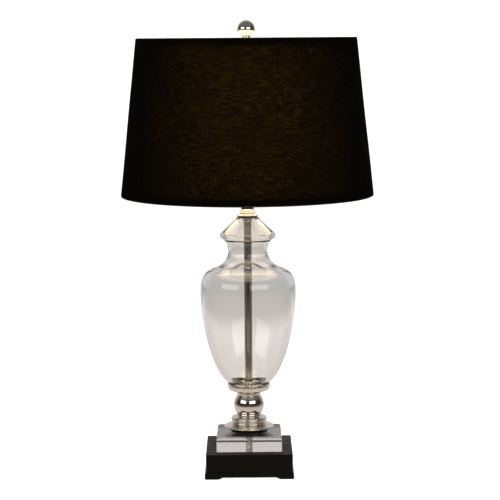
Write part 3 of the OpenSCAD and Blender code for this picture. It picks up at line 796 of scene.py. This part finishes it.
def straight_through(nodes, links):
    """1 for light that comes straight or through glass alone, 0 once anything has reflected it."""
    path = nodes.new("ShaderNodeLightPath")
    bounces, none = nodes.new("ShaderNodeMath"), nodes.new("ShaderNodeMath")
    links.new(path.outputs["Glossy Depth"], bounces.inputs[0])
    links.new(path.outputs["Diffuse Depth"], bounces.inputs[1])
    none.operation = "LESS_THAN"
    none.inputs[1].default_value = 0.5
    links.new(bounces.outputs[0], none.inputs[0])
    return none.outputs[0]


FLOOR_HALF = 9.0  # half its width
FLOOR_WHITE = 0.97  # its brightness to the eye
FAN_START = 0.9  # the bright part of the floor fans out from this far in front of the lamp
FAN_EDGE = (0.3, 0.95)  # it fades between these, in metres aside for each metre from there
FAN_DIM = 0.18  # share of the brightness beyond the fan
FLOOR_DEPTH = (  # its colour to the glass and metal, by distance behind the lamp
    (-2.0, (0.03, 0.028, 0.025)),
    (-0.8, (0.16, 0.14, 0.12)),
    (-0.2, (0.66, 0.58, 0.47)),
    (0.25, (0.66, 0.6, 0.59)),
    (0.85, (0.8, 0.74, 0.71)),
    (1.15, (0.88, 0.82, 0.79)),
    (1.5, (0.66, 0.61, 0.575)),
    (2.1, (0.58, 0.56, 0.545)),
    (3.5, (0.57, 0.56, 0.55)),
)


def studio_floor():
    """Floor that is plain white to the eye. To the metal it is a warm table with a pale floor behind it,
    dim in front and at the sides, and straight through the glass it is pale all round."""
    mesh = bpy.data.meshes.new("studio_floor")
    corners = [(x * FLOOR_HALF, y * FLOOR_HALF, 0) for x, y in ((-1, -1), (1, -1), (1, 1), (-1, 1))]
    mesh.from_pydata(corners, [], [range(4)])
    floor = new_object("studio_floor", mesh)
    f = Finish("studio_floor", Base_Color=(0.8, 0.8, 0.8, 1), Roughness=0.9, Specular_IOR_Level=0.0)
    f.shader.inputs["Emission Color"].default_value = (1, 1, 1, 1)
    f.shader.inputs["Emission Strength"].default_value = FLOOR_WHITE
    split = f.node("SeparateXYZ")
    f.join(f.place, split.inputs[0])
    first, last = FLOOR_DEPTH[0][0], FLOOR_DEPTH[-1][0]
    depth = ramp(f.nodes, FLOOR_DEPTH, first, last)
    straight = straight_through(f.nodes, f.links)
    away = f.node("VectorMath", operation="LENGTH")
    f.join(f.place, away.inputs[0])
    further = f.calc("SUBTRACT", away.outputs["Value"], split.outputs["Y"])
    behind = f.calc("ADD", split.outputs["Y"], f.calc("MULTIPLY", straight, further))
    f.join(f.ranged(behind, 0, 1, first, last), depth.inputs[0])
    from_start = f.calc("ADD", split.outputs["Y"], FAN_START)
    aside = f.calc("DIVIDE", f.calc("ABSOLUTE", split.outputs["X"]), from_start)
    fan = f.ranged(aside, 1.0, FAN_DIM, *FAN_EDGE)
    glow = f.node("Emission")
    f.join(depth.outputs[0], glow.inputs["Color"])
    f.join(f.calc("MAXIMUM", fan, straight), glow.inputs["Strength"])
    f.mixed(f.node("LightPath").outputs["Is Camera Ray"], glow, f.shader)
    paint(floor, f.material)


ROOM_WHITE = 1.3  # brightness of the world to the eye


def room_light():
    """The world: white to the eye, and to everything else a dark room in front and a grey backdrop behind.
    Straight through the glass it is the backdrop all round."""
    world = bpy.data.worlds.new("studio")
    bpy.context.scene.world = world
    world.use_nodes = True
    nodes, links = world.node_tree.nodes, world.node_tree.links
    nodes.clear()
    place = nodes.new("ShaderNodeTexCoord")
    split = nodes.new("ShaderNodeSeparateXYZ")
    links.new(place.outputs["Generated"], split.inputs[0])

    def share(axis, low, high):
        """0 where the direction's axis is below low, 1 where it is above high."""
        made = nodes.new("ShaderNodeMapRange")
        made.interpolation_type = "SMOOTHSTEP"
        made.inputs["From Min"].default_value = low
        made.inputs["From Max"].default_value = high
        links.new(split.outputs[axis], made.inputs["Value"])
        return made.outputs["Result"]

    def between(factor, first, second):
        """A colour between two, each given plainly or as a socket."""
        made = nodes.new("ShaderNodeMix")
        made.data_type = "RGBA"
        links.new(factor, made.inputs["Factor"])
        for source, socket in ((first, made.inputs["A"]), (second, made.inputs["B"])):
            if isinstance(source, tuple):
                socket.default_value = (*source, 1)
            else:
                links.new(source, socket)
        return made.outputs["Result"]

    ahead = between(share("Z", 0.3, 0.7), (0.035, 0.031, 0.027), (0.15, 0.14, 0.13))
    backdrop = between(share("Z", 0.05, 0.8), (0.63, 0.585, 0.57), (0.5, 0.5, 0.5))
    behind = nodes.new("ShaderNodeMath")
    behind.operation = "MAXIMUM"
    links.new(share("Y", 0.15, 0.8), behind.inputs[0])
    links.new(straight_through(nodes, links), behind.inputs[1])
    room = nodes.new("ShaderNodeBackground")
    links.new(between(behind.outputs[0], ahead, backdrop), room.inputs["Color"])
    white = nodes.new("ShaderNodeBackground")
    white.inputs["Color"].default_value = (1, 1, 1, 1)
    white.inputs["Strength"].default_value = ROOM_WHITE
    mix = nodes.new("ShaderNodeMixShader")
    links.new(nodes.new("ShaderNodeLightPath").outputs["Is Camera Ray"], mix.inputs[0])
    links.new(room.outputs[0], mix.inputs[1])
    links.new(white.outputs[0], mix.inputs[2])
    out = nodes.new("ShaderNodeOutputWorld")
    links.new(mix.outputs[0], out.inputs["Surface"])


def light(name, kind, place, power, colour, **settings):
    data = bpy.data.lights.new(name, kind)
    data.energy = power
    data.color = colour
    for setting, value in settings.items():
        setattr(data, setting, value)
    made = new_object(name, data)
    made.location = place
    return made


def softbox(name, place, target, width, height, power):
    made = light(name, "AREA", place, power, (1, 0.97, 0.92), shape="RECTANGLE", size=width, size_y=height)
    made.rotation_mode = "QUATERNION"
    made.rotation_quaternion = (Vector(target) - Vector(place)).to_track_quat("-Z", "Y")
    return made


def bulb_light():
    """The light that the bulb gives, from a sphere just inside its globe."""
    low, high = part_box("bulb_glass")
    radius = (high.x - low.x) / 2
    place = (0, 0, high.z - radius)
    light("bulb_light", "POINT", place, BULB_POWER, BULB_COLOUR, shadow_soft_size=0.9 * radius)


def shade_glow(name, height, radius, power, down):
    """The warm light out of one mouth of the shade, hidden from the camera, for what is polished near it."""
    made = light(name, "AREA", (0, 0, height), power, (1.0, 0.8, 0.53), shape="DISK", size=2 * radius)
    made.rotation_euler = (0 if down else math.pi, 0, 0)
    made.visible_camera = False


camera()
studio_floor()
room_light()
bulb_light()
shade_low, shade_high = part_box("shade_fabric")
shade_glow("glow_below", height=shade_low.z + 0.004, radius=0.15, power=0.3, down=True)
shade_glow("glow_above", height=shade_high.z - 0.01, radius=0.12, power=0.2, down=False)
softbox("key_left", place=(-2.5, -2.3, 1.5), target=(0, 0, 0.1), width=2.9, height=1.3, power=26)
softbox("key_right", place=(1.65, -3.0, 1.5), target=(0, 0, 0.1), width=3.0, height=1.3, power=27)
ceiling = softbox("overhead", place=(0, 0.4, 3.2), target=(0, 0, 0), width=3.4, height=3.0, power=14)
ceiling.visible_glossy = False  # the polished metal shows the two softboxes alone
bpy.context.scene.view_settings.view_transform = "Standard"
